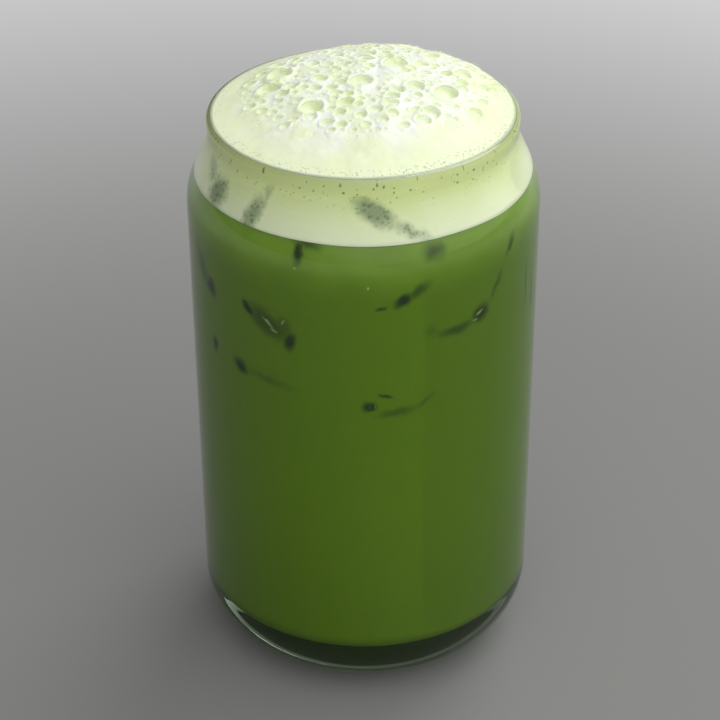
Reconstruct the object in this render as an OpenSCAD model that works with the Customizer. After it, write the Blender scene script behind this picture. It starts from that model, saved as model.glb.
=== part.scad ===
// Iced matcha latte in a can-shaped glass.
// Millimetres, +Z up. The origin is the centre of the circle that the glass stands on.
// The drink and the foam take their sides from the same inner wall curve as the glass.

/* [Glass] */
// Height of the glass, from its foot to the top of its lip
glass_h = 133; // [108:1:165]
// Outside diameter of the straight wall
glass_d = 78; // [65:0.5:95]
// Outside diameter across the lip
rim_d = 68; // [56:0.5:82]
// Thickness of the wall
wall_t = 2.4; // [1.6:0.1:3.6]
// How far below the top of the lip the neck is narrowest
waist_drop = 4; // [3:0.5:7]
// How much narrower the neck is than the lip, on each side
waist_in = 0.2; // [0:0.1:1]
// How far below the top of the lip the shoulder meets the straight wall
shoulder_drop = 20.5; // [14:0.5:28]
// Fullness of the shoulder's curve: a low value is fuller
shoulder_power = 1.5; // [1:0.05:2.5]

/* [Glass base] */
// Thickness of the base, from the foot to the inner floor
base_t = 13.3; // [8:0.1:20]
// Outside radius of the rounded foot
foot_r = 15; // [8:0.5:19]
// Radius between the inner floor and the wall
floor_r = 4.5; // [2:0.5:18]
// Width of the flat ring that the glass stands on
ring_w = 2.5; // [1.5:0.25:5]
// Depth of the hollow under the base
punt_depth = 1.6; // [0.5:0.1:3.5]

/* [Drink] */
// How far below the top of the lip the drink ends and the foam begins
foam_line_drop = 14.1; // [8:0.1:30]

/* [Foam] */
// Height of the foam's dome above its edge on the lip
dome_rise = 7.5; // [3:0.1:16]
// Flatness of the dome's top: a high value is flatter
dome_power = 2.6; // [1.6:0.1:5]
// How far round the lip's curve the foam laps, from the inner side
lap_angle = 80; // [10:1:85]
// Number of low swells on the dome
swell_count = 5; // [0:1:8]
// Radius of each swell
swell_r = 10; // [6:0.5:13]
// Height of each swell above the dome
swell_h = 0.8; // [0.2:0.1:2]
// How far the swells lie from the axis
swell_ring_r = 14.5; // [6:0.5:17]

/* [Bubbles] */
// Number of large bubbles on the dome
bubble_count = 44; // [0:1:70]
// Diameter of the smallest of them
bubble_min_d = 2.2; // [1.5:0.1:4]
// Diameter of the largest
bubble_max_d = 7.6; // [4:0.1:10]
// Share of a bubble's diameter that stands above the foam
bubble_proud = 0.3; // [0.15:0.01:0.5]
// Widest radius of the patch that the bubbles cover
bubble_field_r = 25; // [12:0.5:28]
// How far behind the axis the middle of that patch lies
bubble_field_back = 3; // [-6:0.5:6]
// Choice of bubble sizes
bubble_seed = 7; // [1:1:99]

/* [Hidden] */

ROUND_FN = 96;
BUBBLE_FN = 40;
ARC_STEPS = 10;
NECK_STEPS = 9;
DOME_STEPS = 12;
SWELL_STEPS = 6;
GOLDEN_ANGLE = 137.508;
// Bubbles grow scarcer with size, by this power
SIZE_POWER = 2.2;
// The swells' edges go this far below the dome's surface
SWELL_ROOT = 1.2;
SWELL_START_ANGLE = 20;

wall_r = glass_d / 2;
lip_outer_r = rim_d / 2;
lip_r = wall_t / 2;
lip_z = glass_h - lip_r;
waist_z = glass_h - waist_drop;
shoulder_z = glass_h - shoulder_drop;
waist_r = lip_outer_r - waist_in;
fill_z = glass_h - foam_line_drop;
ring_outer_r = wall_r - foot_r;
punt_r = ring_outer_r - ring_w;
dome_edge_r = lip_outer_r - lip_r - lip_r * cos(lap_angle);
dome_edge_z = lip_z + lip_r * sin(lap_angle);
// The patch stays inside the lip
patch_r = min(bubble_field_r, dome_edge_r - abs(bubble_field_back) - bubble_max_d / 2);

// Outside radius of the neck, from the top of the straight wall (t = 0) to the waist (t = 1)
function neck_r(t) = waist_r + (wall_r - waist_r) * pow(sin(90 * (1 - t)), shoulder_power);

// Outside radius of the glass at height z, above the rounded foot
function outer_r(z) =
    z <= shoulder_z ? wall_r
    : z <= waist_z ? neck_r((z - shoulder_z) / (waist_z - shoulder_z))
    : waist_r + waist_in * (z - waist_z) / (lip_z - waist_z);

// Evenly spaced heights from low to high
function heights(low, high) = [for (i = [0:NECK_STEPS]) low + (high - low) * i / NECK_STEPS];

// Heights at which the neck's curve is sampled, below and above the foam line. The glass and
// what it holds share them, so that their sides meet face to face.
low_heights = fill_z > shoulder_z ? heights(shoulder_z, fill_z) : [fill_z];
high_heights = heights(max(shoulder_z, fill_z), waist_z);

// Points [radius, height] up the inside of the wall
function inner_side(levels) = [for (z = levels) [outer_r(z) - wall_t, z]];

// The rounded corner between the inner floor and the wall
function floor_corner() = [
    for (i = [0:ARC_STEPS])
        let (a = 90 * i / ARC_STEPS)
            [wall_r - wall_t - floor_r + floor_r * sin(a), base_t + floor_r - floor_r * cos(a)]
];

// An arc of the lip's round edge, between two angles counted from its outer side
function lip_arc(from, to) = [
    for (i = [0:ARC_STEPS])
        let (a = from + (to - from) * i / ARC_STEPS)
            [lip_outer_r - lip_r + lip_r * cos(a), lip_z + lip_r * sin(a)]
];

function reversed(list) = [for (i = [len(list) - 1:-1:0]) list[i]];

// Height of the plain dome at distance r from the axis
function dome_z(r) = dome_edge_z + dome_rise * (1 - pow(min(r / dome_edge_r, 1), dome_power));

// The swells: centre [x, y] of number i, and its height above the dome at distance r from its centre
function swell_at(i) =
    let (a = SWELL_START_ANGLE + 360 * i / swell_count)
        [swell_ring_r * cos(a), swell_ring_r * sin(a)];
function swell_top() = dome_z(swell_ring_r) + swell_h;
function swell_z(r) = swell_top() - swell_drop() * pow(r / swell_r, 2);
function swell_drop() = swell_h + dome_z(swell_ring_r) - dome_z(swell_ring_r + swell_r) + SWELL_ROOT;

// Height of the foam's surface under the bubbles
function foam_z(x, y) =
    let (swells = [
        for (i = [0:1:swell_count - 1])
            let (d = norm([x, y] - swell_at(i))) if (d < swell_r) swell_z(d)
    ])
    max(concat([dome_z(norm([x, y]))], swells));

// The glass: rounded foot, straight wall, curved shoulder, round lip and thick base
module glass() {
    foot = [
        for (i = [0:ARC_STEPS])
            let (a = 90 * i / ARC_STEPS)
                [ring_outer_r + foot_r * sin(a), foot_r - foot_r * cos(a)]
    ];
    neck = [for (z = concat(low_heights, high_heights)) [outer_r(z), z]];
    inner_neck = reversed(inner_side(concat(low_heights, high_heights)));
    lip = concat(lip_arc(0, 180 - lap_angle), lip_arc(180 - lap_angle, 180));
    punt = [
        for (i = [0:ARC_STEPS])
            let (r = punt_r * i / ARC_STEPS) [r, punt_depth * (1 - pow(r / punt_r, 2))]
    ];
    color([0.82, 0.88, 0.84, 0.35])
        rotate_extrude($fn = ROUND_FN)
            polygon(concat(punt, foot, neck, lip, inner_neck, reversed(floor_corner()), [[0, base_t]]));
}

// The drink: fills the glass from its floor to the foam line
module drink() {
    color([0.33, 0.45, 0.12])
        rotate_extrude($fn = ROUND_FN)
            polygon(concat([[0, base_t]], floor_corner(), inner_side(low_heights), [[0, fill_z]]));
}

// One low swell of the foam
module swell() {
    rotate_extrude($fn = ROUND_FN)
        polygon(concat(
            [[0, dome_edge_z]],
            [for (i = [SWELL_STEPS:-1:0]) let (r = swell_r * i / SWELL_STEPS) [r, swell_z(r)]]
        ));
}

// The large bubbles, set round the patch in a spiral
module bubbles() {
    picks = rands(0, 1, max(bubble_count, 1), bubble_seed);
    for (i = [0:1:bubble_count - 1]) {
        from_middle = patch_r * sqrt((i + 0.5) / bubble_count);
        x = from_middle * cos(i * GOLDEN_ANGLE);
        y = from_middle * sin(i * GOLDEN_ANGLE) + bubble_field_back;
        d = bubble_min_d + (bubble_max_d - bubble_min_d) * pow(picks[i], SIZE_POWER);
        translate([x, y, foam_z(x, y) + d * (bubble_proud - 0.5)])
            sphere(d = d, $fn = BUBBLE_FN);
    }
}

// The foam: fills the neck above the drink, laps onto the lip and rises in a dome
module foam() {
    dome = [
        for (i = [0:DOME_STEPS])
            let (r = dome_edge_r * (1 - i / DOME_STEPS)) [r, dome_z(r)]
    ];
    foam_side = inner_side(fill_z > shoulder_z ? high_heights : concat([fill_z], high_heights));
    color([0.91, 0.97, 0.76]) {
        rotate_extrude($fn = ROUND_FN)
            polygon(concat(
                [[0, fill_z]],
                foam_side,
                reversed(lip_arc(180 - lap_angle, 180)),
                dome
            ));
        for (i = [0:1:swell_count - 1])
            translate(concat(swell_at(i), [0])) swell();
        bubbles();
    }
}

glass();
drink();
foam();
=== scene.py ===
"""Looks of an iced matcha latte in a can-shaped glass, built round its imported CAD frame.

The glass is a thick clear shell, the drink and the foam reach just into its wall, and the
foam carries pits with thin bubble films. The ice near the wall shows as soft dark marks.
"""

import logging
import math
import random
from dataclasses import dataclass, field
from enum import Enum
from functools import reduce

import bmesh
import bpy
import numpy as np
from mathutils import Matrix, Vector, noise


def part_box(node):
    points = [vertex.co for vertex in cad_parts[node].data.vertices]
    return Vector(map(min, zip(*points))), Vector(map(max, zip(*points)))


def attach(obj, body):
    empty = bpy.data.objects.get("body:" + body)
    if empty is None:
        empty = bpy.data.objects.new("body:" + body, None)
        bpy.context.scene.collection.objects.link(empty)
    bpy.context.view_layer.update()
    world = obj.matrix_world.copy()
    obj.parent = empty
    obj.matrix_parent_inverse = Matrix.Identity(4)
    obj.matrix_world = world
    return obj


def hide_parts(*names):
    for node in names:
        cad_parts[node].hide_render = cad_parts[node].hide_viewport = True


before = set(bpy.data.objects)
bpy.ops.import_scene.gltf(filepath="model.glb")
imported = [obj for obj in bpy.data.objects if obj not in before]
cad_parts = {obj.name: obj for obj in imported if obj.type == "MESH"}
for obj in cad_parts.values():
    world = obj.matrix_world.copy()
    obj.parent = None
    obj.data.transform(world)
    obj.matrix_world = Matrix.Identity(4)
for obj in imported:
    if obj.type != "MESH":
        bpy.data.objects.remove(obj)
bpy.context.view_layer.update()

MM = 0.001
# Lengths below this, in metres, count as nothing
TINY = 1e-7
# How far a mark's outline wanders
RAGGED_BY = 2 * MM
# Vertex layer of the foam: painted shade on the walls of its pits, from 0 to 1
PIT_SHADE_LAYER = "pit"
BODY = "root"
log = logging.getLogger("matcha_latte")


# Shapes


@dataclass(frozen=True)
class Vessel:
    """The can-shaped glass as sizes and curves, which everything inside it follows.

    The sizes that the frame holds come from its boxes, and the rest are in metres here.
    """

    height: float
    wall_radius: float
    wall: float
    base: float
    fill: float
    foam_top: float
    lip_radius: float = 34.0 * MM
    waist_drop: float = 4.0 * MM
    waist_in: float = 0.2 * MM
    shoulder_drop: float = 20.5 * MM
    shoulder_power: float = 1.5
    foot_radius: float = 15.0 * MM
    floor_radius: float = 4.5 * MM
    ring_width: float = 2.5 * MM
    punt_depth: float = 1.6 * MM
    dome_rise: float = 7.5 * MM
    dome_power: float = 2.6
    lap_angle: float = math.radians(110)
    reach: float = 0.15 * MM

    @classmethod
    def from_frame(cls) -> "Vessel":
        """Read the driving sizes off the frame's boxes.

        Returns:
            The vessel, in metres.
        """
        glass_low, glass_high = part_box("glass")
        drink_low, drink_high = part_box("drink")
        foam_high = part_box("foam")[1]
        return cls(
            height=glass_high.z - glass_low.z,
            wall_radius=min(glass_high.x, glass_high.y),
            wall=glass_high.x - drink_high.x,
            base=drink_low.z,
            fill=drink_high.z,
            foam_top=foam_high.z,
        )

    @property
    def lip(self) -> float:
        """Radius of the lip's round edge."""
        return self.wall / 2

    @property
    def lip_height(self) -> float:
        """Height of the centre of the lip's round edge."""
        return self.height - self.lip

    @property
    def lip_centre(self) -> float:
        """Distance from the axis to the centre of the lip's round edge."""
        return self.lip_radius - self.lip

    @property
    def dome_edge(self) -> tuple[float, float]:
        """Radius and height at which the foam's dome leaves the lip."""
        inside = self.lip - self.reach
        return (
            self.lip_centre - inside * math.cos(self.lap_angle),
            self.lip_height + inside * math.sin(self.lap_angle),
        )

    def outer(self, z: float) -> float:
        """Outside radius of the glass above its rounded foot.

        Args:
            z: Height above the foot.

        Returns:
            The radius at that height.
        """
        shoulder = self.height - self.shoulder_drop
        waist = self.height - self.waist_drop
        neck = self.lip_radius - self.waist_in
        if z <= shoulder:
            return self.wall_radius
        if z <= waist:
            turn = math.pi / 2 * (waist - z) / (waist - shoulder)
            return neck + (self.wall_radius - neck) * math.sin(turn) ** self.shoulder_power
        share = min(1.0, (z - waist) / (self.lip_height - waist))
        return neck + self.waist_in * share * share * (3 - 2 * share)

    def filled(self, z: float) -> float:
        """Radius of what fills the glass, which reaches just into the wall.

        Args:
            z: Height above the foot.

        Returns:
            The radius at that height.
        """
        rise = z - self.base
        radius = self.outer(z) - self.wall + self.reach
        if rise < self.floor_radius:
            missing = self.floor_radius - math.sqrt(
                max(0.0, self.floor_radius**2 - (self.floor_radius - rise) ** 2)
            )
            radius -= missing
        return radius

    def dome(self, distance: float) -> float:
        """Give the height of the plain dome of foam at a distance from the axis."""
        edge, low = self.dome_edge
        return low + self.dome_rise * (1 - min(distance / edge, 1.0) ** self.dome_power)


def spaced(low: float, high: float, steps: int) -> list:
    """Give evenly spaced values from low to high, both ends included."""
    return [low + (high - low) * i / steps for i in range(steps + 1)]


def arc(centre: tuple[float, float], radius: float, start: float, end: float, steps: int) -> list:
    """Give points along an arc of an outline, with angles in degrees from outwards to up."""
    angles = [math.radians(a) for a in spaced(start, end, steps)]
    return [(centre[0] + radius * math.cos(a), centre[1] + radius * math.sin(a)) for a in angles]


def turned(name: str, outline: list, steps: int) -> bpy.types.Object:
    """Turn an outline whose two ends lie on the axis into a smooth closed piece.

    Args:
        name: Name of the piece.
        outline: Points as (distance from the axis, height).
        steps: Number of steps round.

    Returns:
        The new object.
    """
    bm = bmesh.new()
    verts = [bm.verts.new((r, 0.0, z)) for r, z in outline]
    edges = [bm.edges.new(pair) for pair in zip(verts, verts[1:])]
    bmesh.ops.spin(
        bm, geom=verts + edges, cent=(0, 0, 0), axis=(0, 0, 1),
        angle=math.tau, steps=steps, use_merge=True,
    )
    bmesh.ops.remove_doubles(bm, verts=bm.verts, dist=TINY)
    bmesh.ops.recalc_face_normals(bm, faces=bm.faces)
    return finished(name, bm)


def finished(name: str, bm: bmesh.types.BMesh) -> bpy.types.Object:
    """Turn a bmesh into a smooth-shaded object that is linked to the scene.

    Args:
        name: Name of the piece.
        bm: The mesh, which is freed.

    Returns:
        The new object, at the origin.
    """
    for face in bm.faces:
        face.smooth = True
    mesh = bpy.data.meshes.new(name)
    bm.to_mesh(mesh)
    bm.free()
    piece = bpy.data.objects.new(name, mesh)
    bpy.context.scene.collection.objects.link(piece)
    return piece


# Shader building


class Graph:
    """A node tree with short ways to add nodes and join them."""

    def __init__(self, tree: bpy.types.NodeTree) -> None:
        """Wrap a node tree."""
        self.tree = tree

    def node(self, kind: str, inputs: dict | None = None, **settings: object) -> bpy.types.Node:
        """Add a node.

        Args:
            kind: The node's type name.
            inputs: Socket names or indices, each with a plain value or an output to join.
            **settings: Attributes to set on the node.

        Returns:
            The new node.
        """
        made = self.tree.nodes.new(kind)
        for key, value in settings.items():
            setattr(made, key, value)
        for key, value in (inputs or {}).items():
            self.feed(made.inputs[key], value)
        return made

    def feed(self, socket: bpy.types.NodeSocket, value: object) -> None:
        """Join an output to a socket, or set the socket's plain value."""
        if isinstance(value, bpy.types.NodeSocket):
            self.tree.links.new(value, socket)
        else:
            socket.default_value = value

    def math(self, operation: str, *values: object) -> bpy.types.NodeSocket:
        """Add a Math node on plain numbers or outputs, and give its output."""
        return self.node("ShaderNodeMath", dict(enumerate(values)), operation=operation).outputs[0]

    def step(
        self, value: object, low: object, high: object, to: tuple = (0.0, 1.0)
    ) -> bpy.types.NodeSocket:
        """Add a smooth step from low to high, and give the two values that it runs between."""
        made = self.node(
            "ShaderNodeMapRange",
            {"Value": value, "From Min": low, "From Max": high, "To Min": to[0], "To Max": to[1]},
            interpolation_type="SMOOTHSTEP",
        )
        return made.outputs["Result"]

    def blend(self, share: object, first: object, second: object) -> bpy.types.NodeSocket:
        """Add a colour Mix node.

        Args:
            share: How much of the second colour shows, as a number or an output.
            first: The first colour.
            second: The second colour.

        Returns:
            The mixed colour.
        """
        made = self.node("ShaderNodeMix", data_type="RGBA")
        for index, value in ((0, share), (6, first), (7, second)):
            self.feed(made.inputs[index], value)
        return made.outputs[2]

    def product(self, *values: object) -> bpy.types.NodeSocket:
        """Multiply outputs and plain numbers."""
        return reduce(lambda a, b: self.math("MULTIPLY", a, b), values)

    def most(self, values: list) -> bpy.types.NodeSocket:
        """Join several masks into one by their largest value."""
        return reduce(lambda a, b: self.math("MAXIMUM", a, b), values)

    def group(self, name: str, inputs: dict, output: str) -> bpy.types.NodeSocket:
        """Place a shared node group.

        Args:
            name: The group's name.
            inputs: Socket names, each with a value or an output.
            output: Name of the output wanted.

        Returns:
            That output.
        """
        made = self.node("ShaderNodeGroup", node_tree=bpy.data.node_groups[name])
        for key, value in inputs.items():
            self.feed(made.inputs[key], value)
        return made.outputs[output]


def rgba(colour: tuple) -> tuple:
    """Give a colour of three parts its alpha of one."""
    return (*colour, 1.0)


def shared_group(name: str, inputs: dict, outputs: dict) -> tuple[Graph, dict, bpy.types.Node]:
    """Start a shader node group with named sockets.

    Args:
        name: Name of the group.
        inputs: Input names, each with its socket type.
        outputs: Output names, each with its socket type.

    Returns:
        The group's graph, its input sockets by name and its output node.
    """
    tree = bpy.data.node_groups.new(name, "ShaderNodeTree")
    for label, kind in inputs.items():
        tree.interface.new_socket(label, in_out="INPUT", socket_type=kind)
    for label, kind in outputs.items():
        tree.interface.new_socket(label, in_out="OUTPUT", socket_type=kind)
    graph = Graph(tree)
    into = graph.node("NodeGroupInput")
    out = graph.node("NodeGroupOutput")
    return graph, {label: into.outputs[label] for label in inputs}, out


def make_shared_effects() -> None:
    """Build the effects that more than one material uses."""
    number, vector = "NodeSocketFloat", "NodeSocketVector"

    graph, into, out = shared_group(
        "wall_place", {"Point": vector, "Radius": number}, {"Place": vector}
    )
    parts = graph.node("ShaderNodeSeparateXYZ", {0: into["Point"]})
    front = graph.product(parts.outputs["Y"], -1.0)
    angle = graph.math("ARCTAN2", parts.outputs["X"], front)
    along = graph.product(angle, into["Radius"])
    place = graph.node("ShaderNodeCombineXYZ", {"X": along, "Y": parts.outputs["Z"]})
    graph.feed(out.inputs["Place"], place.outputs[0])

    graph, into, out = shared_group(
        "soft_mark",
        {"Place": vector, "Centre": vector, "Turn": vector, "Size": vector, "Edge": number},
        {"Mask": number},
    )
    local = graph.node(
        "ShaderNodeMapping",
        {
            "Vector": into["Place"], "Location": into["Centre"],
            "Rotation": into["Turn"], "Scale": into["Size"],
        },
        vector_type="TEXTURE",
    )
    distance = graph.node("ShaderNodeVectorMath", {0: local.outputs[0]}, operation="LENGTH")
    inner = graph.math("SUBTRACT", 1.0, into["Edge"])
    graph.feed(out.inputs["Mask"], graph.step(distance.outputs["Value"], 1.0, inner))

    graph, into, out = shared_group(
        "pores",
        {"Point": vector, "Per Metre": number, "Size": number, "Share": number},
        {"Mask": number},
    )
    cells = graph.node(
        "ShaderNodeTexVoronoi", {"Vector": into["Point"], "Scale": into["Per Metre"]}
    )
    pick = graph.node("ShaderNodeSeparateColor", {0: cells.outputs["Color"]})
    kept = graph.math("LESS_THAN", pick.outputs[0], into["Share"])
    widest = graph.product(into["Size"], graph.math("ADD", 0.5, pick.outputs[1]))
    deepest = graph.product(widest, 0.4)
    hole = graph.step(cells.outputs["Distance"], widest, deepest)
    graph.feed(out.inputs["Mask"], graph.product(hole, kept))


class Finish:
    """A material of one Principled shader, with the helpers that its recipe needs."""

    def __init__(self, name: str) -> None:
        """Start an empty material with a Principled shader and its output."""
        self.material = bpy.data.materials.new(name)
        self.material.use_nodes = True
        self.graph = Graph(self.material.node_tree)
        self.material.node_tree.nodes.clear()
        self.output = self.graph.node("ShaderNodeOutputMaterial")
        self.shader = self.graph.node("ShaderNodeBsdfPrincipled")
        self.point = self.graph.node("ShaderNodeTexCoord").outputs["Object"]
        self.graph.feed(self.output.inputs["Surface"], self.shader.outputs[0])

    def set(self, **values: object) -> "Finish":
        """Set plain values on the shader's own sockets.

        Args:
            **values: Socket names with underscores for spaces.

        Returns:
            This finish.
        """
        for key, value in values.items():
            self.shader.inputs[key.replace("_", " ")].default_value = value
        return self

    def noise(
        self, per_metre: float, detail: float = 3.0, roughness: float = 0.5
    ) -> bpy.types.NodeSocket:
        """Add noise on object coordinates, with its cells per metre and its finer layers."""
        made = self.graph.node(
            "ShaderNodeTexNoise",
            {"Vector": self.point, "Scale": per_metre, "Detail": detail, "Roughness": roughness},
        )
        return made.outputs[0]

    def height(self) -> bpy.types.NodeSocket:
        """Give the height above the foot."""
        return self.graph.node("ShaderNodeSeparateXYZ", {0: self.point}).outputs["Z"]

    def drifted(self, height: object, per_metre: float, distance: float) -> bpy.types.NodeSocket:
        """Make a height wander over the surface, within a range of that distance."""
        centred = self.graph.math("SUBTRACT", self.noise(per_metre), 0.5)
        return self.graph.math("ADD", height, self.graph.product(centred, distance))

    def wall_place(self, vessel: Vessel) -> bpy.types.NodeSocket:
        """Give the place on the wall as if it were unrolled from the front."""
        return self.graph.group(
            "wall_place", {"Point": self.point, "Radius": vessel.wall_radius}, "Place"
        )

    def pores(self, per_metre: float, size: float, share: float) -> bpy.types.NodeSocket:
        """Add scattered round pores, their size in cells, in a share of the cells."""
        inputs = {"Point": self.point, "Per Metre": per_metre, "Size": size, "Share": share}
        return self.graph.group("pores", inputs, "Mask")

    def bump(self, height: object, distance: float, strength: float = 1.0) -> None:
        """Feed a height into the shader's normal, where one stands for that distance."""
        made = self.graph.node(
            "ShaderNodeBump", {"Height": height, "Distance": distance, "Strength": strength}
        )
        self.graph.feed(self.shader.inputs["Normal"], made.outputs["Normal"])


# Finishes


@dataclass(frozen=True)
class WallMark:
    """A soft patch on the wall, where something behind it shows.

    The angle is in degrees from the front towards the right, the height, half length and half
    width in millimetres, and the turn in degrees, anticlockwise as seen from outside.
    """

    angle: float
    height: float
    length: float
    width: float
    turn: float = 0.0
    edge: float = 0.6
    strength: float = 1.0


def wall_marks(*rows: tuple) -> tuple:
    """Make a wall mark of each row of its values."""
    return tuple(WallMark(*row) for row in rows)


@dataclass(frozen=True)
class ClearGlass:
    """Clear soda-lime glass, faintly green, with the slight waviness of pressed glass."""

    tint: tuple = (0.99, 1.0, 0.99)
    index: float = 1.5
    wave: float = 0.02 * MM
    body: tuple = (0.64, 0.74, 0.62)
    density: float = 32.0

    def make(self) -> bpy.types.Material:
        """Build the material, which lets lamps through.

        Returns:
            The material.
        """
        finish = Finish("clear_glass")
        graph = finish.graph
        finish.set(Base_Color=rgba(self.tint), IOR=self.index, Transmission_Weight=1.0)
        smudge = graph.step(finish.noise(90.0), 0.55, 0.8, (0.0, 0.03))
        graph.feed(finish.shader.inputs["Roughness"], smudge)
        finish.bump(finish.noise(60.0, 1.0), self.wave)
        path = graph.node("ShaderNodeLightPath")
        clear = graph.node("ShaderNodeBsdfTransparent", {"Color": rgba(self.tint)})
        mixed = graph.node(
            "ShaderNodeMixShader",
            {0: path.outputs["Is Shadow Ray"], 1: finish.shader.outputs[0], 2: clear.outputs[0]},
        )
        graph.feed(finish.output.inputs["Surface"], mixed.outputs[0])
        thick = graph.node(
            "ShaderNodeVolumeAbsorption", {"Color": rgba(self.body), "Density": self.density}
        )
        graph.feed(finish.output.inputs["Volume"], thick.outputs[0])
        return finish.material


@dataclass(frozen=True)
class GreenMilkTea:
    """Opaque milky green tea, paler just under the foam partly as a painted glow, with dark marks
    where ice is near, two thin ones a painted reflection, and painted glints.
    """

    deep: tuple = (0.120, 0.232, 0.002)
    # Colour just under the foam: partly milkier tea, partly a painted glow of the light from the
    # foam
    pale: tuple = (0.235, 0.40, 0.030)
    line: tuple = (0.19, 0.33, 0.05)
    ice_dark: tuple = (0.012, 0.035, 0.003)
    low: tuple = (0.105, 0.205, 0.002)
    # Colour of the painted glints: highlights of reflected light
    glint: tuple = (0.42, 0.52, 0.20)
    low_from: float = 4 * MM
    low_to: float = 45 * MM
    pale_depth: float = 13 * MM
    line_from: float = 0.9 * MM
    line_to: float = 0.2 * MM
    marks: tuple = ()
    glints: tuple = ()

    def make(self, vessel: Vessel) -> bpy.types.Material:
        """Build the material.

        Args:
            vessel: The glass, for the heights at which the colour changes.

        Returns:
            The material.
        """
        finish = Finish("green_milk_tea")
        graph = finish.graph
        finish.set(Roughness=0.6, Specular_IOR_Level=0.0)
        height = finish.height()
        level = finish.drifted(height, 45.0, 6 * MM)
        raised = graph.step(level, vessel.base + self.low_from, vessel.base + self.low_to)
        colour = graph.blend(raised, rgba(self.low), rgba(self.deep))
        # Paler just under the foam: partly milkier tea, partly a painted glow of the light that the
        # foam sends down.
        near_foam = graph.step(level, vessel.fill - self.pale_depth, vessel.fill + 1 * MM)
        colour = graph.blend(near_foam, colour, rgba(self.pale))
        at_line = graph.step(height, vessel.fill - self.line_from, vessel.fill - self.line_to)
        colour = graph.blend(at_line, colour, rgba(self.line))
        mottle = graph.step(finish.noise(160.0, 4.0), 0.35, 0.75, (0.0, 0.22))
        colour = graph.blend(mottle, colour, rgba(self.low))
        dark = marks_mask(finish, vessel, self.marks)
        colour = graph.blend(dark, colour, rgba(self.ice_dark))
        # Painted highlights: small bright glints of reflected light on the wet ice against the
        # wall.
        bright = marks_mask(finish, vessel, self.glints)
        colour = graph.blend(bright, colour, rgba(self.glint))
        graph.feed(finish.shader.inputs["Base Color"], colour)
        finish.bump(finish.noise(300.0, 2.0), 0.03 * MM)
        return finish.material


def marks_mask(finish: Finish, vessel: Vessel, marks: tuple) -> bpy.types.NodeSocket:
    """Join a set of wall marks into one mask with slightly ragged outlines.

    Args:
        finish: The finish that the marks lie in.
        vessel: The glass.
        marks: The wall marks.

    Returns:
        The joined mask.
    """
    graph = finish.graph
    place = finish.wall_place(vessel)
    ragged = graph.node(
        "ShaderNodeTexNoise", {"Vector": finish.point, "Scale": 420.0, "Detail": 3.0}
    ).outputs["Color"]
    centred = graph.node(
        "ShaderNodeVectorMath", {0: ragged, 1: (0.5, 0.5, 0.5)}, operation="SUBTRACT"
    )
    shift = graph.node(
        "ShaderNodeVectorMath",
        {0: centred.outputs[0], 1: (RAGGED_BY, RAGGED_BY, 0.0)},
        operation="MULTIPLY",
    )
    moved = graph.node("ShaderNodeVectorMath", {0: place, 1: shift.outputs[0]}, operation="ADD")
    masks = []
    for mark in marks:
        along = math.radians(mark.angle) * vessel.wall_radius
        mask = graph.group(
            "soft_mark",
            {
                "Place": moved.outputs[0],
                "Centre": (along, mark.height * MM, 0.0),
                "Turn": (0.0, 0.0, math.radians(mark.turn)),
                "Size": (mark.length * MM, mark.width * MM, 1.0),
                "Edge": mark.edge,
            },
            "Mask",
        )
        masks.append(graph.product(mask, mark.strength))
    return graph.most(masks)


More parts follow.
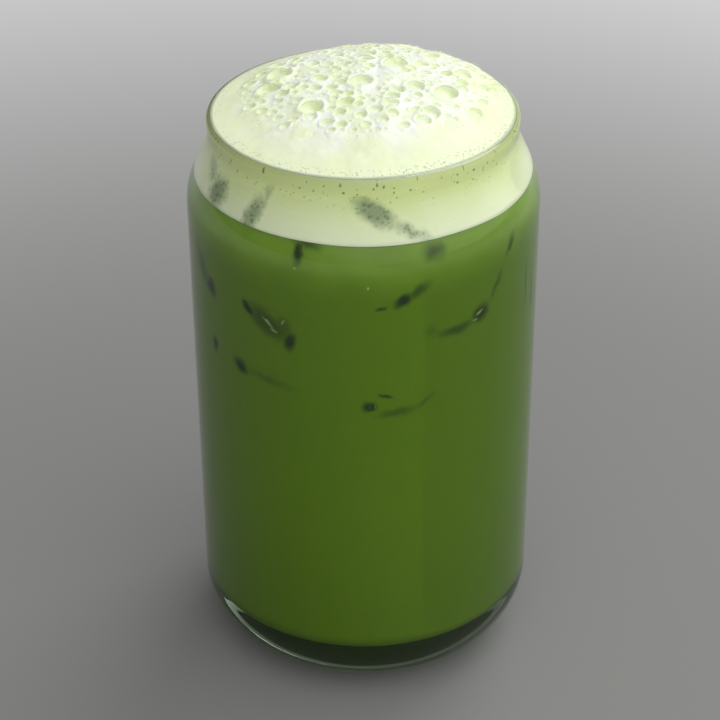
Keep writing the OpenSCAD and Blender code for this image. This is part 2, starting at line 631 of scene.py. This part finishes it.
@dataclass(frozen=True)
class MilkFoam:
    """Pale yellow-green milk foam: fine and smooth on top, wetter and olive against the neck, and
    painted darker under the lip as shade.
    """

    top: tuple = (0.86, 0.95, 0.60)
    cloud: tuple = (0.92, 0.98, 0.86)
    # Painted shade: the greener colour of the shaded walls of the pits
    pit: tuple = (0.80, 0.90, 0.54)
    side_low: tuple = (0.90, 0.96, 0.68)
    # Partly the foam's own olive tone, partly painted shade under the lip
    side_high: tuple = (0.78, 0.86, 0.40)
    pore: tuple = (0.16, 0.24, 0.05)
    wet: tuple = (0.20, 0.27, 0.15)
    # Painted shade: a dark line where the foam meets the glass lip
    lip_line: tuple = (0.30, 0.36, 0.27)
    cloud_full: float = 20 * MM
    cloud_ends: float = 31 * MM
    patches: tuple = ()

    def make(self, vessel: Vessel) -> bpy.types.Material:
        """Build the material.

        Args:
            vessel: The glass, for the heights at which the colour changes.

        Returns:
            The material.
        """
        finish = Finish("milk_foam")
        graph = finish.graph
        finish.set(
            Roughness=0.6, Specular_IOR_Level=0.3, Subsurface_Weight=0.35,
            Subsurface_Radius=(1.0, 1.1, 0.55), Subsurface_Scale=1.2 * MM,
        )
        height = finish.height()
        is_top = graph.step(height, vessel.lip_height - 0.6 * MM, vessel.lip_height)
        side = self.side_colour(finish, height, vessel)
        top = self.top_colour(finish, height, vessel)
        graph.feed(finish.shader.inputs["Base Color"], graph.blend(is_top, side, top))
        finish.bump(finish.noise(1800.0, 4.0, 0.6), 0.08 * MM, 0.6)
        return finish.material

    def side_colour(
        self, finish: Finish, height: bpy.types.NodeSocket, vessel: Vessel
    ) -> bpy.types.NodeSocket:
        """Colour the foam against the neck: paler low down, darker and more olive high up, partly
        its own tone and partly painted shade under the lip, with wet patches and pores.

        Args:
            finish: The foam's finish.
            height: The height output.
            vessel: The glass.

        Returns:
            The colour.
        """
        graph = finish.graph
        level = finish.drifted(height, 110.0, 5 * MM)
        # Darker and more olive high up: partly the foam's own tone, partly painted shade under the
        # lip.
        raised = graph.step(level, vessel.fill + 0.5 * MM, vessel.height - 3.5 * MM)
        side = graph.blend(raised, rgba(self.side_low), rgba(self.side_high))
        wet = marks_mask(finish, vessel, self.patches)
        side = graph.blend(graph.product(wet, 0.85), side, rgba(self.wet))
        near_lip = graph.step(height, vessel.height - 9 * MM, vessel.height - 3 * MM)
        fine = graph.product(finish.pores(1500.0, 0.42, 0.16), near_lip)
        crowd = graph.product(finish.pores(1250.0, 0.55, 0.75), wet)
        pores = graph.product(graph.most([fine, crowd]), 0.85)
        return graph.blend(pores, side, rgba(self.pore))

    def top_colour(
        self, finish: Finish, height: bpy.types.NodeSocket, vessel: Vessel
    ) -> bpy.types.NodeSocket:
        """Colour the foam's top: whiter in the middle, greener with painted shade in the pits, with
        a painted dark line at the lip.

        Args:
            finish: The foam's finish.
            height: The height output.
            vessel: The glass.

        Returns:
            The colour.
        """
        graph = finish.graph
        parts = graph.node("ShaderNodeSeparateXYZ", {0: finish.point}).outputs
        flat = graph.node("ShaderNodeCombineXYZ", {"X": parts["X"], "Y": parts["Y"]}).outputs[0]
        away = graph.node("ShaderNodeVectorMath", {0: flat}, operation="LENGTH").outputs["Value"]
        middle = graph.step(away, self.cloud_ends, self.cloud_full, (0.25, 1.0))
        cloud = graph.product(graph.step(finish.noise(150.0, 4.0), 0.2, 0.62), middle)
        top = graph.blend(cloud, rgba(self.top), rgba(self.cloud))
        # Painted shade: the pits' walls turn greener, as shade falls in them.
        pit = graph.node("ShaderNodeAttribute", attribute_name=PIT_SHADE_LAYER).outputs["Fac"]
        top = graph.blend(pit, top, rgba(self.pit))
        specks = graph.product(finish.pores(1300.0, 0.3, 0.3), 0.4)
        top = graph.blend(specks, top, rgba(self.side_high))
        rim = vessel.dome_edge[0]
        by_lip = graph.step(away, rim - 3.4 * MM, rim - 1.2 * MM)
        crown = graph.step(height, vessel.height - 0.1 * MM, vessel.height + 0.2 * MM)
        ring = graph.product(finish.pores(2100.0, 0.42, 0.6), by_lip, crown, 0.6)
        top = graph.blend(ring, top, rgba(self.wet))
        # Painted shade: a dark line in the crease where the foam meets the glass lip.
        line = graph.product(graph.step(away, rim - 0.9 * MM, rim - 0.35 * MM), 0.6)
        return graph.blend(line, top, rgba(self.lip_line))


@dataclass(frozen=True)
class BubbleFilm:
    """The thin wall of a bubble: a clear wet film, denser where it is seen edge on, its grey tint
    there partly a painted reflection.
    """

    tint: tuple = (0.62, 0.68, 0.52)
    base_alpha: float = 0.06
    edge_alpha: float = 0.42

    def make(self) -> bpy.types.Material:
        """Build the material.

        Returns:
            The material.
        """
        finish = Finish("bubble_film")
        graph = finish.graph
        finish.set(Base_Color=rgba(self.tint), Roughness=0.08)
        facing = graph.node("ShaderNodeLayerWeight", {"Blend": 0.5}).outputs["Facing"]
        swirl = graph.step(finish.noise(500.0, 2.0), 0.3, 0.7, (0.75, 1.1))
        # Denser edge on: partly the film's thickness seen edge on, partly a painted reflection in
        # its grey tint.
        alpha = graph.step(facing, 0.45, 0.9, (self.base_alpha, self.edge_alpha))
        graph.feed(finish.shader.inputs["Alpha"], graph.product(alpha, swirl))
        return finish.material


@dataclass(frozen=True)
class SunkIce:
    """Clear ice with green tea behind it, dark and wet where it touches the wall."""

    tint: tuple = (0.05, 0.10, 0.02)
    dark: tuple = (0.01, 0.028, 0.003)

    def make(self) -> bpy.types.Material:
        """Build the material.

        Returns:
            The material.
        """
        finish = Finish("sunk_ice")
        graph = finish.graph
        finish.set(IOR=1.31, Roughness=0.12, Specular_IOR_Level=0.6)
        veil = graph.step(finish.noise(350.0, 3.0), 0.35, 0.75)
        colour = graph.blend(veil, rgba(self.dark), rgba(self.tint))
        graph.feed(finish.shader.inputs["Base Color"], colour)
        finish.bump(finish.noise(500.0, 2.0), 0.1 * MM)
        return finish.material


# Sub-assemblies


@dataclass
class CanGlass:
    """The glass: rounded foot, straight wall, curved shoulder, round lip and thick base."""

    vessel: Vessel
    steps: int = 256

    def outline(self) -> list:
        """Give the closed outline of the wall and base.

        Returns:
            Points as (distance from the axis, height), from the axis under the base round to
            the axis on the inner floor.
        """
        v = self.vessel
        ring = v.wall_radius - v.foot_radius
        punt = ring - v.ring_width
        under = [(punt * t, v.punt_depth * (1 - t**2)) for t in spaced(0.0, 1.0, 12)]
        foot = arc((ring, v.foot_radius), v.foot_radius, -90, 0, 24)
        shoulder = v.height - v.shoulder_drop
        neck = [(v.outer(z), z) for z in spaced(shoulder, v.lip_height, 48)]
        lip = arc((v.lip_centre, v.lip_height), v.lip, 0, 180, 16)
        inner_neck = [(r - v.wall, z) for r, z in reversed(neck)]
        corner = arc(
            (v.wall_radius - v.wall - v.floor_radius, v.base + v.floor_radius),
            v.floor_radius, 0, -90, 20,
        )
        return under + foot + neck + lip[1:-1] + inner_neck + corner + [(0.0, v.base)]

    def build(self) -> bpy.types.Object:
        """Build and dress the glass.

        Returns:
            The glass piece.
        """
        piece = turned("can_glass", self.outline(), self.steps)
        piece.data.materials.append(ClearGlass().make())
        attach(piece, BODY)
        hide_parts("glass")
        return piece


def foam_line(vessel: Vessel, angle: float) -> float:
    """Give the height at which drink turns to foam, slightly wavy round the glass."""
    wave = noise.noise(Vector((2.2 * math.cos(angle), 2.2 * math.sin(angle), 0.7)))
    return vessel.fill + 0.3 * MM * wave - 0.1 * MM


@dataclass
class Tea:
    """The green drink, from the inner floor to the foam line."""

    vessel: Vessel
    marks: tuple
    glints: tuple
    steps: int = 192

    def build(self) -> bpy.types.Object:
        """Build and dress the drink.

        Returns:
            The drink piece.
        """
        v = self.vessel
        low = v.base - v.reach
        corner = arc(
            (v.wall_radius - v.wall + v.reach - v.floor_radius, low + v.floor_radius),
            v.floor_radius, -90, 0, 20,
        )
        start = v.base + v.floor_radius
        shoulder = v.height - v.shoulder_drop
        heights = spaced(start, shoulder, 10)[1:] + spaced(shoulder, v.fill, 10)[1:]
        side = [(v.filled(z), z) for z in heights]
        outline = [(0.0, low)] + corner + side + [(0.0, v.fill)]
        piece = turned("green_tea", outline, self.steps)
        for vertex in piece.data.vertices:
            co = vertex.co
            if co.z > v.fill - 10 * TINY and co.xy.length > 1 * MM:
                co.z = foam_line(v, math.atan2(co.y, co.x))
        piece.data.materials.append(GreenMilkTea(marks=self.marks, glints=self.glints).make(v))
        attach(piece, BODY)
        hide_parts("drink")
        return piece


@dataclass(frozen=True)
class Bubble:
    """One bubble in the foam: its middle, its radius, its pit and the place of the froth in it."""

    x: float
    y: float
    z: float
    radius: float
    mouth: float
    depth: float
    heap: tuple


@dataclass(frozen=True)
class Sort:
    """One size of bubble: how many, their diameters in millimetres, and how close they stand."""

    count: int
    smallest: float
    largest: float
    closeness: float


@dataclass(frozen=True)
class Pit:
    """How a bubble's pit is shaped, in shares of its mouth or of the bubble's radius."""

    reach: float = 1.8
    lip: float = 0.14
    lip_at: float = 1.1
    lip_width: float = 0.22
    bowl_power: float = 2.2
    froth_width: float = 0.72
    froth_fill: float = 0.9
    froth_hides: float = 1.25
    # Where the painted shade lies on the pit's wall, and how the froth hides it
    wall_at: float = 0.7
    wall_width: float = 0.36
    wall_end: float = 1.08
    wall_fade: float = 4.0

    def shape(self, b: Bubble, points: np.ndarray) -> tuple[np.ndarray, np.ndarray]:
        """Shape the foam round one bubble.

        Args:
            b: The bubble.
            points: Places near it, as rows of x and y.

        Returns:
            How much the pit raises each place, and how much painted shade it puts on its wall, from
            0 to 1.
        """
        share = np.hypot(points[:, 0] - b.x, points[:, 1] - b.y) / b.mouth
        from_heap = np.hypot(points[:, 0] - b.heap[0], points[:, 1] - b.heap[1]) / b.mouth
        froth = bell(from_heap, 0.0, self.froth_width)
        lip = self.lip * b.radius * bell(share, self.lip_at, self.lip_width)
        bowl = np.where(share < 1, b.depth * (1 - share**self.bowl_power), 0.0)
        inside = np.clip((self.wall_end - share) * self.wall_fade, 0, 1)
        # Painted shade: the pit's wall turns greener, as shade falls in it, except under the froth
        # heap.
        wall = bell(share, self.wall_at, self.wall_width) * inside
        green = wall * np.clip(1 - self.froth_hides * froth, 0, 1)
        return lip - bowl * (1 - self.froth_fill * froth), green


def bell(value: np.ndarray, middle: float, width: float) -> np.ndarray:
    """Give a smooth bump that is 1 at the middle."""
    return np.exp(-(((value - middle) / width) ** 2))


@dataclass
class FoamTop:
    """The uneven surface of the foam, with the pits that its bubbles sit in.

    The unevenness is three layers of noise, each with its waves per metre, its place in the
    noise and its height. The shares are of a bubble's radius or of its mouth.
    """

    vessel: Vessel
    field_x: float = 1.5 * MM
    field_y: float = 3.0 * MM
    field_wide: float = 27.5 * MM
    field_deep: float = 24.0 * MM
    clear_edge: float = 1.5 * MM
    lean: float = 5.0 * MM
    uneven: tuple = ((70, 3.1, 0.8 * MM), (240, 8.4, 0.5 * MM), (620, 1.7, 0.16 * MM))
    sorts: tuple = (
        Sort(12, 4.8, 7.0, 0.8), Sort(90, 2.6, 4.4, 0.66), Sort(130, 1.4, 2.5, 0.7),
        Sort(160, 0.7, 1.3, 0.9),
    )
    tries: int = 60
    sunk: tuple = (0.48, 0.66)
    edge_sunk: float = 0.2
    heap_turns: tuple = (-140, -40)
    heap_out: tuple = (0.35, 0.7)
    depths: tuple = (0.35, 0.6)
    pit: Pit = Pit()
    bubbles: list = field(default_factory=list)

    def plain(self, x: float, y: float) -> float:
        """Height of the foam before its pits are cut.

        Args:
            x: Place to the right of the axis.
            y: Place behind the axis.

        Returns:
            The height.
        """
        edge = self.vessel.dome_edge[0]
        distance = min(math.hypot(x, y), edge)
        fade = 1 - (distance / edge) ** 4
        swell = sum(
            tall * noise.noise(Vector((x * per_metre, y * per_metre, place)))
            for per_metre, place, tall in self.uneven
        )
        leant = math.hypot(x - self.lean * fade, y - 0.3 * self.lean * fade)
        return self.vessel.dome(leant) + fade * swell

    def scatter(self, rng: random.Random) -> None:
        """Fill the bubble patch with bubbles, large ones first.

        Args:
            rng: The source of random numbers.
        """
        for sort in self.sorts:
            placed = 0
            for _ in range(sort.count * self.tries):
                if placed == sort.count:
                    break
                angle = rng.uniform(0, math.tau)
                out = math.sqrt(rng.random()) * (1.0 if sort.largest > 2 else 1.08)
                x = self.field_x + self.field_wide * out * math.cos(angle)
                y = self.field_y + self.field_deep * out * math.sin(angle)
                radius = rng.uniform(sort.smallest, sort.largest) / 2 * MM
                if math.hypot(x, y) + radius > self.vessel.dome_edge[0] - self.clear_edge:
                    continue
                if any(
                    math.hypot(x - b.x, y - b.y) < sort.closeness * (radius + b.radius)
                    for b in self.bubbles
                ):
                    continue
                self.bubbles.append(self.bubble(x, y, radius, rng))
                placed += 1

    def bubble(self, x: float, y: float, radius: float, rng: random.Random) -> Bubble:
        """Seat a bubble in the foam.

        Args:
            x: Place to the right of the axis.
            y: Place behind the axis.
            radius: The bubble's radius.
            rng: The source of random numbers.

        Returns:
            The bubble, low enough to stay under the foam's highest point.
        """
        surface = self.plain(x, y)
        outward = math.hypot(x, y) / self.vessel.dome_edge[0]
        sunk = radius * (rng.uniform(*self.sunk) + self.edge_sunk * outward**3)
        z = min(surface - sunk, self.vessel.foam_top - radius - 0.05 * MM)
        mouth = math.sqrt(max(radius**2 - (surface - z) ** 2, (0.4 * radius) ** 2))
        turn = math.radians(rng.uniform(*self.heap_turns))
        out = mouth * rng.uniform(*self.heap_out)
        heap = (x + out * math.cos(turn), y + out * math.sin(turn))
        return Bubble(x, y, z, radius, mouth, mouth * rng.uniform(*self.depths), heap)

    def heights(self, points: np.ndarray) -> tuple[np.ndarray, np.ndarray]:
        """Heights of the finished surface.

        Args:
            points: Places as rows of x and y.

        Returns:
            The heights, and the painted shade of the pits' walls at each place, from 0 to 1.
        """
        height = np.array([self.plain(x, y) for x, y in points])
        pit = np.zeros(len(points))
        for b in self.bubbles:
            distance = np.hypot(points[:, 0] - b.x, points[:, 1] - b.y)
            near = distance < b.mouth * self.pit.reach
            raised, green = self.pit.shape(b, points[near])
            height[near] += raised
            # Keeps the largest painted shade of the pits at each place.
            pit[near] = np.maximum(pit[near], green)
        return height, pit


@dataclass
class Froth:
    """The foam: a body that fills the neck and domes over the lip, and its bubble films."""

    vessel: Vessel
    patches: tuple
    seed: int = 11
    cells: int = 250
    film_least: float = 0.75 * MM
    film_fine: float = 1.4 * MM

    def surface(self) -> FoamTop:
        """Scatter the bubbles over the foam.

        Returns:
            The foam's surface.
        """
        top = FoamTop(self.vessel)
        top.scatter(random.Random(self.seed))
        return top

    @staticmethod
    def to_disc(u: float, v: float) -> tuple[float, float]:
        """Map the unit square to the unit disc with cells of even size.

        Args:
            u: First coordinate, from -1 to 1.
            v: Second coordinate, from -1 to 1.

        Returns:
            The place on the disc.
        """
        if max(abs(u), abs(v)) < TINY:
            return 0.0, 0.0
        if abs(u) >= abs(v):
            turn = math.pi / 4 * v / u
            return u * math.cos(turn), u * math.sin(turn)
        turn = math.pi / 2 - math.pi / 4 * u / v
        return v * math.cos(turn), v * math.sin(turn)

    def rings(self) -> list:
        """Give the foam's side, from the dome's edge down to the foam line and a little under.

        Returns:
            Points as (distance from the axis, height).
        """
        v = self.vessel
        inside = v.lip - v.reach
        lap = math.degrees(v.lap_angle)
        lip = arc((v.lip_centre, v.lip_height), inside, 180 - lap, 180, 6)[1:]
        neck = [(v.filled(z), z) for z in spaced(v.lip_height, v.fill, 22)[1:]]
        tuck = [(neck[-1][0] - 0.4 * MM, v.fill - 0.5 * MM)]
        return lip + neck + tuck

    def build_body(self, top: FoamTop) -> bpy.types.Object:
        """Build and dress the body of the foam.

        Args:
            top: The foam's surface.

        Returns:
            The foam piece.
        """
        v = self.vessel
        bm = bmesh.new()
        layer = bm.verts.layers.float.new(PIT_SHADE_LAYER)
        bmesh.ops.create_grid(bm, x_segments=self.cells, y_segments=self.cells, size=1.0)
        edge = v.dome_edge[0]
        verts = list(bm.verts)
        places = np.array([self.to_disc(p.co.x, p.co.y) for p in verts]) * edge
        height, pit = top.heights(places)
        for vertex, (x, y), z, depth in zip(verts, places, height, pit):
            vertex.co = (x, y, z)
            # The vertex layer holds the painted shade of the pits.
            vertex[layer] = depth
        border = [e for e in bm.edges if e.is_boundary]
        for radius, z in self.rings():
            made = bmesh.ops.extrude_edge_only(bm, edges=border)["geom"]
            for vertex in (g for g in made if isinstance(g, bmesh.types.BMVert)):
                flat = vertex.co.xy.normalized() * radius
                angle = math.atan2(flat.y, flat.x)
                drop = foam_line(v, angle) - v.fill if z <= v.fill + TINY else 0.0
                vertex.co = (flat.x, flat.y, z + drop)
                vertex[layer] = 0.0
            border = [g for g in made if isinstance(g, bmesh.types.BMEdge) and g.is_boundary]
        bmesh.ops.contextual_create(bm, geom=border)
        bmesh.ops.recalc_face_normals(bm, faces=bm.faces)
        piece = finished("milk_foam", bm)
        piece.data.materials.append(MilkFoam(patches=self.patches).make(v))
        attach(piece, BODY)
        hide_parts("foam")
        return piece

    def build_films(self, top: FoamTop) -> bpy.types.Object:
        """Build and dress the bubbles' thin walls as one piece.

        Args:
            top: The foam's surface.

        Returns:
            The films piece.
        """
        bm = bmesh.new()
        for b in top.bubbles:
            if b.radius < self.film_least:
                continue
            bmesh.ops.create_icosphere(
                bm, subdivisions=4 if b.radius > self.film_fine else 3, radius=b.radius,
                matrix=Matrix.Translation((b.x, b.y, b.z)),
            )
        piece = finished("bubble_films", bm)
        piece.data.materials.append(BubbleFilm().make())
        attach(piece, BODY)
        return piece


class Touch(Enum):
    """Which part of a piece of ice lies against the wall."""

    CORNER = (1.0, 1.0, 1.0)
    EDGE = (1.0, 1.0, 0.0)


@dataclass(frozen=True)
class Cube:
    """One piece of ice: where it touches the wall, how it is spun there, and its half sizes.

    The angle and the spin are in degrees, the height and the half sizes in millimetres.
    """

    angle: float
    height: float
    touch: Touch
    spin: float
    halves: tuple


@dataclass
class SunkenIce:
    """Melting ice in the drink, whose corners and edges come up to the wall."""

    vessel: Vessel
    cubes: tuple
    proud: float = 0.1 * MM
    cuts: int = 9

    def build(self) -> bpy.types.Object:
        """Build and dress all the ice as one piece.

        Returns:
            The ice piece.
        """
        bm = bmesh.new()
        for number, cube in enumerate(self.cubes):
            # Known fault: the set doesn't tell earlier pieces apart, so each pass moves them again.
            # They collapse to a point, and only the last piece keeps its shape.
            before = set(bm.verts)
            made = bmesh.ops.create_cube(bm, size=2.0)["verts"]
            edges = list({e for v in made for e in v.link_edges})
            bmesh.ops.subdivide_edges(bm, edges=edges, cuts=self.cuts, use_grid_fill=True)
            block = [v for v in bm.verts if v not in before]
            for vertex in block:
                vertex.co = self.melted(vertex.co, cube, number)
            self.seat(block, cube)
        bmesh.ops.recalc_face_normals(bm, faces=bm.faces)
        piece = finished("sunken_ice", bm)
        piece.data.materials.append(SunkIce().make())
        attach(piece, BODY)
        return piece

    def seat(self, block: list, cube: Cube) -> None:
        """Turn a piece of ice and push it out until it touches the wall.

        Args:
            block: The vertices of the piece, about its middle.
            cube: The piece of ice.
        """
        around = math.radians(cube.angle)
        outward = Vector((math.sin(around), -math.cos(around), 0.0))
        turn = Vector(cube.touch.value).rotation_difference(outward).to_matrix()
        spin = Matrix.Rotation(math.radians(cube.spin), 3, outward)
        for vertex in block:
            vertex.co = spin @ turn @ vertex.co
        reach = max(vertex.co.dot(outward) for vertex in block)
        away = self.vessel.filled(cube.height * MM) + self.proud - reach
        place = outward * away + Vector((0.0, 0.0, cube.height * MM))
        for vertex in block:
            vertex.co += place

    @staticmethod
    def melted(corner: Vector, cube: Cube, number: int) -> Vector:
        """Round a point of the unit cube as melting does, and make it uneven.

        Args:
            corner: A point on the cube from -1 to 1 each way.
            cube: The piece of ice.
            number: Its number, which sets its unevenness.

        Returns:
            The point, in metres, about the piece's middle.
        """
        squareness = 5.0
        length = sum(abs(c) ** squareness for c in corner) ** (1 / squareness)
        rounded = corner / length
        swell = 1 + 0.10 * noise.noise(rounded * 1.7 + Vector((number * 5.3, 0, 0)))
        return Vector([c * h * MM * swell for c, h in zip(rounded, cube.halves)])


# Studio


class Side(Enum):
    """Where a soft light stands, as degrees round from the front to the right, and up."""

    KEY = (145.0, 55.0)
    RIGHT = (82.0, 20.0)
    FRONT = (20.0, 45.0)

    def towards(self) -> Vector:
        """Give the direction from the object to the light."""
        around, up = (math.radians(a) for a in self.value)
        return Vector((
            math.sin(around) * math.cos(up), -math.cos(around) * math.cos(up), math.sin(up)
        ))


@dataclass
class Studio:
    """A pale floor, painted darker round the object as shade, soft light and the camera."""

    vessel: Vessel
    lens: float = 103.4
    distance: float = 0.480
    elevation: float = 32.1
    roll: float = -0.37
    aim_height: float = 69.1 * MM
    aim_left: float = 1.0 * MM
    floor_radius: float = 3.0
    floor_shaded: float = 0.26
    floor_far: float = 0.76
    near_ends: float = 0.12
    far_starts: float = 0.60
    sky_top: float = 0.66
    sky_low: float = 0.62
    sky_back: float = 0.10
    sky_left: float = 0.46
    glow_right: float = 0.42
    glow_front: float = 0.56
    key_power: float = 3.0
    key_size: float = 0.5
    light_away: float = 0.9

    def build(self) -> None:
        """Build everything round the object."""
        self.build_floor()
        self.build_sky()
        self.build_light()
        self.build_camera()
        bpy.context.scene.view_settings.view_transform = "Standard"

    def build_floor(self) -> None:
        """Build the floor, which isn't part of the object, with painted shade round the object."""
        bm = bmesh.new()
        bmesh.ops.create_circle(bm, cap_ends=True, segments=96, radius=self.floor_radius)
        floor = finished("floor", bm)
        finish = Finish("floor_paint")
        graph = finish.graph
        grey = rgba((self.floor_shaded, self.floor_shaded, self.floor_shaded * 0.97))
        pale = rgba((self.floor_far, self.floor_far, self.floor_far * 1.02))
        # Painted shade: the floor is darker round the object, where its shadow falls, and paler far
        # off as a backdrop.
        away = graph.node("ShaderNodeVectorMath", {0: finish.point}, operation="LENGTH")
        share = graph.step(away.outputs["Value"], self.near_ends, self.far_starts)
        graph.feed(finish.shader.inputs["Base Color"], graph.blend(share, grey, pale))
        finish.set(Roughness=0.7, Specular_IOR_Level=0.2)
        floor.data.materials.append(finish.material)

    def build_sky(self) -> None:
        """Light the scene softly: dim low behind, dimmer to the left, with two broad glows."""
        world = bpy.data.worlds.new("studio")
        world.use_nodes = True
        graph = Graph(world.node_tree)
        world.node_tree.nodes.clear()
        where = graph.node("ShaderNodeTexCoord").outputs["Generated"]
        parts = graph.node("ShaderNodeSeparateXYZ", {0: where}).outputs
        strength = graph.step(parts["Z"], 0.0, 0.9, (self.sky_low, self.sky_top))
        behind = graph.step(parts["Y"], 0.1, 0.7)
        low = graph.step(parts["Z"], 0.9, 0.6)
        dim = graph.product(behind, low, self.sky_low - self.sky_back)
        strength = graph.math("SUBTRACT", strength, dim)
        left = graph.step(parts["X"], 0.1, -0.8, (1.0, self.sky_left))
        strength = graph.product(strength, left)
        for side, glow in ((Side.RIGHT, self.glow_right), (Side.FRONT, self.glow_front)):
            near = graph.node(
                "ShaderNodeVectorMath", {0: where, 1: side.towards()}, operation="DOT_PRODUCT"
            )
            lobe = graph.step(near.outputs["Value"], 0.5, 1.0, (0.0, glow))
            strength = graph.math("ADD", strength, lobe)
        sky = graph.node("ShaderNodeBackground", {"Strength": strength})
        graph.feed(sky.inputs["Color"], rgba((1.0, 1.0, 1.0)))
        out = graph.node("ShaderNodeOutputWorld")
        graph.feed(out.inputs["Surface"], sky.outputs[0])
        bpy.context.scene.world = world

    def build_light(self) -> None:
        """Add the soft round key light, which faces the object."""
        towards = Side.KEY.towards()
        data = bpy.data.lights.new("key_light", "AREA")
        data.energy = self.key_power
        data.shape = "DISK"
        data.size = self.key_size
        lamp = bpy.data.objects.new("key_light", data)
        lamp.location = Vector((0, 0, self.aim_height)) + towards * self.light_away
        lamp.rotation_euler = towards.to_track_quat("Z", "Y").to_euler()
        bpy.context.scene.collection.objects.link(lamp)

    def build_camera(self) -> None:
        """Set the camera above and in front of the glass."""
        up = math.radians(self.elevation)
        target = Vector((-self.aim_left, 0, self.aim_height))
        rise = self.distance * math.sin(up)
        place = Vector((0, -self.distance * math.cos(up), self.aim_height + rise))
        data = bpy.data.cameras.new("camera")
        data.lens = self.lens
        data.sensor_width = 36.0
        data.clip_start = 0.01
        data.clip_end = 20.0
        camera = bpy.data.objects.new("camera", data)
        turn = (target - place).to_track_quat("-Z", "Y").to_matrix().to_4x4()
        roll = Matrix.Rotation(math.radians(self.roll), 4, "Z")
        camera.matrix_world = Matrix.Translation(place) @ turn @ roll
        bpy.context.scene.collection.objects.link(camera)
        bpy.context.scene.camera = camera


TEA_MARKS = wall_marks(
    (-66.0, 103.5, 8.0, 3.8, -60, 0.9, 0.6), (-60.0, 100.4, 3.8, 2.9, -62, 0.85, 0.95),
    (-40.8, 100.4, 2.6, 1.6, -45, 0.7, 1.0), (-33.0, 98.4, 9.6, 4.2, -26, 0.8, 0.68),
    (-27.0, 98.6, 4.4, 3.6, -50, 0.9, 0.5), (-24.6, 95.3, 2.4, 3.6, -15, 0.8, 0.95),
    (-58.8, 86.2, 2.1, 2.8, 0, 0.85, 0.95), (-45.3, 84.8, 3.5, 2.5, -25, 0.85, 1.0),
    (-33.0, 84.0, 9.5, 1.8, -6, 1.0, 0.42), (-21.6, 116.6, 1.7, 4.0, 0, 0.85, 0.95),
    (-19.0, 118.6, 5.2, 2.0, -8, 0.95, 0.75), (12.4, 106.4, 3.9, 1.9, 36, 0.8, 1.0),
    (17.3, 108.2, 5.0, 1.9, 32, 0.95, 0.75), (5.4, 104.9, 2.0, 0.8, 5, 0.8, 0.8),
    (41.0, 98.8, 3.7, 3.1, 30, 0.8, 0.9), (31.5, 97.0, 7.2, 2.1, 4, 0.9, 0.7),
    (22.0, 98.0, 2.6, 2.8, 0, 1.0, 0.3), (48.0, 104.0, 5.4, 1.4, 58, 1.0, 0.6),
    (54.7, 111.6, 4.2, 1.3, 58, 0.95, 0.75), (23.0, 116.6, 4.2, 3.0, 0, 0.95, 0.75),
    # The two thin upright marks on the next line are a painted reflection near the right edge, not
    # ice.
    (67.0, 98.0, 0.9, 9.0, 0, 0.95, 0.6), (73.0, 95.0, 0.9, 10.0, 0, 0.95, 0.6),
    (1.4, 80.8, 2.4, 1.9, 0, 0.7, 0.95), (6.8, 83.2, 2.2, 0.9, -6, 0.8, 0.85),
    (10.5, 79.0, 6.6, 1.9, 6, 0.9, 0.55), (20.0, 81.0, 4.6, 1.3, 34, 1.0, 0.45),
)

# Painted highlights: glints of reflected light on the ice, drawn into the tea's colour.
PAINTED_GLINTS = wall_marks(
    (-32.6, 98.4, 2.4, 0.42, -38, 0.7, 0.7), (-30.4, 97.0, 1.2, 0.36, -8, 0.7, 0.6),
    (-27.0, 99.6, 0.5, 1.1, -20, 0.8, 0.5), (40.6, 99.2, 1.2, 0.42, 30, 0.7, 0.75),
    (38.6, 97.8, 1.0, 0.36, 15, 0.7, 0.7), (1.0, 110.0, 0.42, 0.42, 0, 0.6, 1.0),
    (-22.5, 113.2, 0.36, 0.36, 0, 0.6, 0.8), (3.0, 80.9, 0.5, 0.9, 0, 0.9, 0.25),
)

FOAM_PATCHES = wall_marks(
    (-61.0, 121.6, 5.6, 4.6, 24, 0.8, 0.95), (-69.0, 124.4, 5.4, 3.2, -30, 1.0, 0.6),
    (-41.0, 121.4, 3.2, 5.8, -26, 0.8, 0.9), (-36.5, 126.4, 1.7, 3.2, -26, 1.0, 0.55),
    (3.8, 125.2, 7.6, 3.4, -25, 0.75, 1.0), (15.5, 121.2, 7.6, 2.0, -26, 1.0, 0.75),
)

ICE = (
    Cube(-32.0, 97.6, Touch.EDGE, 58.0, (10, 8, 7)),
    Cube(-60.5, 100.0, Touch.EDGE, 20.0, (9, 8, 8)),
    Cube(-45.5, 84.8, Touch.CORNER, 10.0, (8, 8, 7)),
    Cube(12.6, 106.8, Touch.EDGE, -52.0, (9, 8, 5)),
    Cube(41.0, 98.6, Touch.CORNER, 35.0, (9, 8, 8)),
    Cube(1.6, 80.8, Touch.CORNER, 70.0, (8, 8, 8)),
)


def main() -> None:
    """Build the drink in its glass, report each piece and set the studio round it."""
    logging.basicConfig(level=logging.INFO, format="%(message)s")
    vessel = Vessel.from_frame()
    make_shared_effects()
    froth = Froth(vessel, FOAM_PATCHES)
    top = froth.surface()
    pieces = [
        CanGlass(vessel).build(),
        Tea(vessel, TEA_MARKS, PAINTED_GLINTS).build(),
        SunkenIce(vessel, ICE).build(),
        froth.build_body(top),
        froth.build_films(top),
    ]
    for piece in pieces:
        log.info("%s: %d faces", piece.name, len(piece.data.polygons))
    Studio(vessel).build()


if __name__ == "__main__":
    main()
